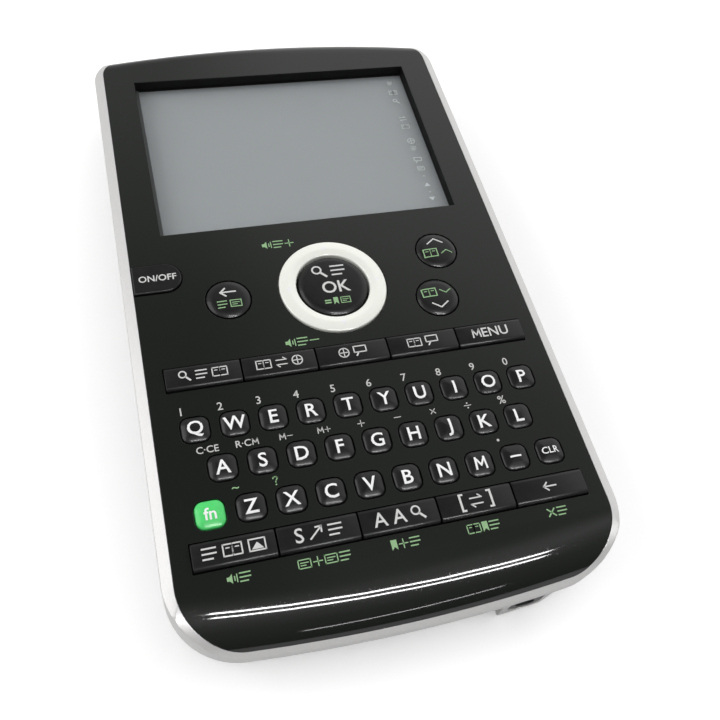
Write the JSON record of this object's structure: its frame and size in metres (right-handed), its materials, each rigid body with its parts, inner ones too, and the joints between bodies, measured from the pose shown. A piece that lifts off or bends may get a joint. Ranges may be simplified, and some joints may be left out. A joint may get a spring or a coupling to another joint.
{
  "type": "electronic dictionary",
  "caption": "Palm-size slab electronic dictionary with a recessed touch display, letter keyboard, bar keys and a tilting direction ring.",
  "frame": {"origin": "on the resting face, under the middle of the slab's outline", "axes": "+Z out of the key side, +Y towards the display end, +X to the right of the keyboard"},
  "size_m": [0.0814, 0.1376, 0.0175],
  "materials": {
    "gloss_black": "piano gloss",
    "silver_paint": "satin metallic paint on plastic",
    "key_black": "gloss",
    "key_green": "gloss",
    "ring_silver": "pearl paint",
    "keypad_rubber": "matt",
    "board_green": "solder mask",
    "touch_clear": "slightly matt film",
    "display_grey": "unlit display",
    "battery_sleeve": "printed sleeve, plain",
    "contact_steel": "nickel plated",
    "screw_steel": "black zinc",
    "jack_black": "moulded",
    "speaker_black": "moulded",
    "pen_black": "satin"
  },
  "bodies": {
    "housing": {"front_case": "gloss_black", "side_frame": "silver_paint", "back_shell": "silver_paint", "rubber_keypad": "keypad_rubber", "circuit_boards": "board_green", "touch_panel": "touch_clear", "lcd_module": "display_grey", "batteries": "battery_sleeve", "battery_contacts": "contact_steel", "case_screws": "screw_steel", "earphone_jack": "jack_black", "speaker": "speaker_black"},
    "battery_cover": {"battery_cover": "silver_paint"},
    "touch_pen": {"touch_pen": "pen_black"},
    "ring_pad": {"ring_pad": "keypad_rubber"},
    "direction_ring": {"direction_ring": "ring_silver"},
    "key_q": {"key_q": "key_black"},
    "key_w": {"key_w": "key_black"},
    "key_e": {"key_e": "key_black"},
    "key_r": {"key_r": "key_black"},
    "key_t": {"key_t": "key_black"},
    "key_y": {"key_y": "key_black"},
    "key_u": {"key_u": "key_black"},
    "key_i": {"key_i": "key_black"},
    "key_o": {"key_o": "key_black"},
    "key_p": {"key_p": "key_black"},
    "key_a": {"key_a": "key_black"},
    "key_s": {"key_s": "key_black"},
    "key_d": {"key_d": "key_black"},
    "key_f": {"key_f": "key_black"},
    "key_g": {"key_g": "key_black"},
    "key_h": {"key_h": "key_black"},
    "key_j": {"key_j": "key_black"},
    "key_k": {"key_k": "key_black"},
    "key_l": {"key_l": "key_black"},
    "key_z": {"key_z": "key_black"},
    "key_x": {"key_x": "key_black"},
    "key_c": {"key_c": "key_black"},
    "key_v": {"key_v": "key_black"},
    "key_b": {"key_b": "key_black"},
    "key_n": {"key_n": "key_black"},
    "key_m": {"key_m": "key_black"},
    "key_dash": {"key_dash": "key_black"},
    "function_key": {"function_key": "key_green"},
    "clear_key": {"clear_key": "key_black"},
    "category_key_1": {"category_key_1": "key_black"},
    "category_key_2": {"category_key_2": "key_black"},
    "category_key_3": {"category_key_3": "key_black"},
    "category_key_4": {"category_key_4": "key_black"},
    "category_key_5": {"category_key_5": "key_black"},
    "lower_key_1": {"lower_key_1": "key_black"},
    "lower_key_2": {"lower_key_2": "key_black"},
    "lower_key_3": {"lower_key_3": "key_black"},
    "lower_key_4": {"lower_key_4": "key_black"},
    "lower_key_5": {"lower_key_5": "key_black"},
    "back_key": {"back_key": "key_black"},
    "previous_key": {"previous_key": "key_black"},
    "next_key": {"next_key": "key_black"},
    "power_key": {"power_key": "key_black"},
    "enter_key": {"enter_key": "key_black"}
  },
  "joints": [
    {"name": "battery_cover_tip", "type": "hinge", "parent": "housing", "child": "battery_cover", "pos_m": [0, -0.0413, 0], "axis": [-1, 0, 0], "range_deg": [0, 60]},
    {"name": "touch_pen_slide", "type": "slide", "parent": "housing", "child": "touch_pen", "axis": [0, 1, 0], "range_m": [0, 0.085]},
    {"name": "ring_tilt_left_right", "type": "hinge", "parent": "housing", "child": "ring_pad", "pos_m": [0, -0.0024, 0.013], "axis": [0, 1, 0], "range_deg": [-1.4, 1.4], "stiffness_Nm_per_rad": 0.2},
    {"name": "ring_tilt_up_down", "type": "hinge", "parent": "ring_pad", "child": "direction_ring", "pos_m": [0, -0.0024, 0.0138], "axis": [1, 0, 0], "range_deg": [-1.4, 1.4], "stiffness_Nm_per_rad": 0.2},
    {"name": "key_q_press", "type": "slide", "parent": "housing", "child": "key_q", "axis": [0, 0, -1], "range_m": [0, 0.0004], "stiffness_N_per_m": 600},
    {"name": "key_w_press", "type": "slide", "parent": "housing", "child": "key_w", "axis": [0, 0, -1], "range_m": [0, 0.0004], "stiffness_N_per_m": 600},
    {"name": "key_e_press", "type": "slide", "parent": "housing", "child": "key_e", "axis": [0, 0, -1], "range_m": [0, 0.0004], "stiffness_N_per_m": 600},
    {"name": "key_r_press", "type": "slide", "parent": "housing", "child": "key_r", "axis": [0, 0, -1], "range_m": [0, 0.0004], "stiffness_N_per_m": 600},
    {"name": "key_t_press", "type": "slide", "parent": "housing", "child": "key_t", "axis": [0, 0, -1], "range_m": [0, 0.0004], "stiffness_N_per_m": 600},
    {"name": "key_y_press", "type": "slide", "parent": "housing", "child": "key_y", "axis": [0, 0, -1], "range_m": [0, 0.0004], "stiffness_N_per_m": 600},
    {"name": "key_u_press", "type": "slide", "parent": "housing", "child": "key_u", "axis": [0, 0, -1], "range_m": [0, 0.0004], "stiffness_N_per_m": 600},
    {"name": "key_i_press", "type": "slide", "parent": "housing", "child": "key_i", "axis": [0, 0, -1], "range_m": [0, 0.0004], "stiffness_N_per_m": 600},
    {"name": "key_o_press", "type": "slide", "parent": "housing", "child": "key_o", "axis": [0, 0, -1], "range_m": [0, 0.0004], "stiffness_N_per_m": 600},
    {"name": "key_p_press", "type": "slide", "parent": "housing", "child": "key_p", "axis": [0, 0, -1], "range_m": [0, 0.0004], "stiffness_N_per_m": 600},
    {"name": "key_a_press", "type": "slide", "parent": "housing", "child": "key_a", "axis": [0, 0, -1], "range_m": [0, 0.0004], "stiffness_N_per_m": 600},
    {"name": "key_s_press", "type": "slide", "parent": "housing", "child": "key_s", "axis": [0, 0, -1], "range_m": [0, 0.0004], "stiffness_N_per_m": 600},
    {"name": "key_d_press", "type": "slide", "parent": "housing", "child": "key_d", "axis": [0, 0, -1], "range_m": [0, 0.0004], "stiffness_N_per_m": 600},
    {"name": "key_f_press", "type": "slide", "parent": "housing", "child": "key_f", "axis": [0, 0, -1], "range_m": [0, 0.0004], "stiffness_N_per_m": 600},
    {"name": "key_g_press", "type": "slide", "parent": "housing", "child": "key_g", "axis": [0, 0, -1], "range_m": [0, 0.0004], "stiffness_N_per_m": 600},
    {"name": "key_h_press", "type": "slide", "parent": "housing", "child": "key_h", "axis": [0, 0, -1], "range_m": [0, 0.0004], "stiffness_N_per_m": 600},
    {"name": "key_j_press", "type": "slide", "parent": "housing", "child": "key_j", "axis": [0, 0, -1], "range_m": [0, 0.0004], "stiffness_N_per_m": 600},
    {"name": "key_k_press", "type": "slide", "parent": "housing", "child": "key_k", "axis": [0, 0, -1], "range_m": [0, 0.0004], "stiffness_N_per_m": 600},
    {"name": "key_l_press", "type": "slide", "parent": "housing", "child": "key_l", "axis": [0, 0, -1], "range_m": [0, 0.0004], "stiffness_N_per_m": 600},
    {"name": "key_z_press", "type": "slide", "parent": "housing", "child": "key_z", "axis": [0, 0, -1], "range_m": [0, 0.0004], "stiffness_N_per_m": 600},
    {"name": "key_x_press", "type": "slide", "parent": "housing", "child": "key_x", "axis": [0, 0, -1], "range_m": [0, 0.0004], "stiffness_N_per_m": 600},
    {"name": "key_c_press", "type": "slide", "parent": "housing", "child": "key_c", "axis": [0, 0, -1], "range_m": [0, 0.0004], "stiffness_N_per_m": 600},
    {"name": "key_v_press", "type": "slide", "parent": "housing", "child": "key_v", "axis": [0, 0, -1], "range_m": [0, 0.0004], "stiffness_N_per_m": 600},
    {"name": "key_b_press", "type": "slide", "parent": "housing", "child": "key_b", "axis": [0, 0, -1], "range_m": [0, 0.0004], "stiffness_N_per_m": 600},
    {"name": "key_n_press", "type": "slide", "parent": "housing", "child": "key_n", "axis": [0, 0, -1], "range_m": [0, 0.0004], "stiffness_N_per_m": 600},
    {"name": "key_m_press", "type": "slide", "parent": "housing", "child": "key_m", "axis": [0, 0, -1], "range_m": [0, 0.0004], "stiffness_N_per_m": 600},
    {"name": "key_dash_press", "type": "slide", "parent": "housing", "child": "key_dash", "axis": [0, 0, -1], "range_m": [0, 0.0004], "stiffness_N_per_m": 600},
    {"name": "function_key_press", "type": "slide", "parent": "housing", "child": "function_key", "axis": [0, 0, -1], "range_m": [0, 0.0004], "stiffness_N_per_m": 600},
    {"name": "clear_key_press", "type": "slide", "parent": "housing", "child": "clear_key", "axis": [0, 0, -1], "range_m": [0, 0.0004], "stiffness_N_per_m": 600},
    {"name": "category_key_1_press", "type": "slide", "parent": "housing", "child": "category_key_1", "axis": [0, 0, -1], "range_m": [0, 0.0004], "stiffness_N_per_m": 600},
    {"name": "category_key_2_press", "type": "slide", "parent": "housing", "child": "category_key_2", "axis": [0, 0, -1], "range_m": [0, 0.0004], "stiffness_N_per_m": 600},
    {"name": "category_key_3_press", "type": "slide", "parent": "housing", "child": "category_key_3", "axis": [0, 0, -1], "range_m": [0, 0.0004], "stiffness_N_per_m": 600},
    {"name": "category_key_4_press", "type": "slide", "parent": "housing", "child": "category_key_4", "axis": [0, 0, -1], "range_m": [0, 0.0004], "stiffness_N_per_m": 600},
    {"name": "category_key_5_press", "type": "slide", "parent": "housing", "child": "category_key_5", "axis": [0, 0, -1], "range_m": [0, 0.0004], "stiffness_N_per_m": 600},
    {"name": "lower_key_1_press", "type": "slide", "parent": "housing", "child": "lower_key_1", "axis": [0, 0, -1], "range_m": [0, 0.0004], "stiffness_N_per_m": 600},
    {"name": "lower_key_2_press", "type": "slide", "parent": "housing", "child": "lower_key_2", "axis": [0, 0, -1], "range_m": [0, 0.0004], "stiffness_N_per_m": 600},
    {"name": "lower_key_3_press", "type": "slide", "parent": "housing", "child": "lower_key_3", "axis": [0, 0, -1], "range_m": [0, 0.0004], "stiffness_N_per_m": 600},
    {"name": "lower_key_4_press", "type": "slide", "parent": "housing", "child": "lower_key_4", "axis": [0, 0, -1], "range_m": [0, 0.0004], "stiffness_N_per_m": 600},
    {"name": "lower_key_5_press", "type": "slide", "parent": "housing", "child": "lower_key_5", "axis": [0, 0, -1], "range_m": [0, 0.0004], "stiffness_N_per_m": 600},
    {"name": "back_key_press", "type": "slide", "parent": "housing", "child": "back_key", "axis": [0, 0, -1], "range_m": [0, 0.0004], "stiffness_N_per_m": 600},
    {"name": "previous_key_press", "type": "slide", "parent": "housing", "child": "previous_key", "axis": [0, 0, -1], "range_m": [0, 0.0004], "stiffness_N_per_m": 600},
    {"name": "next_key_press", "type": "slide", "parent": "housing", "child": "next_key", "axis": [0, 0, -1], "range_m": [0, 0.0004], "stiffness_N_per_m": 600},
    {"name": "power_key_press", "type": "slide", "parent": "housing", "child": "power_key", "axis": [0, 0, -1], "range_m": [0, 0.0004], "stiffness_N_per_m": 600},
    {"name": "enter_key_press", "type": "slide", "parent": "housing", "child": "enter_key", "axis": [0, 0, -1], "range_m": [0, 0.00035], "stiffness_N_per_m": 600}
  ]
}
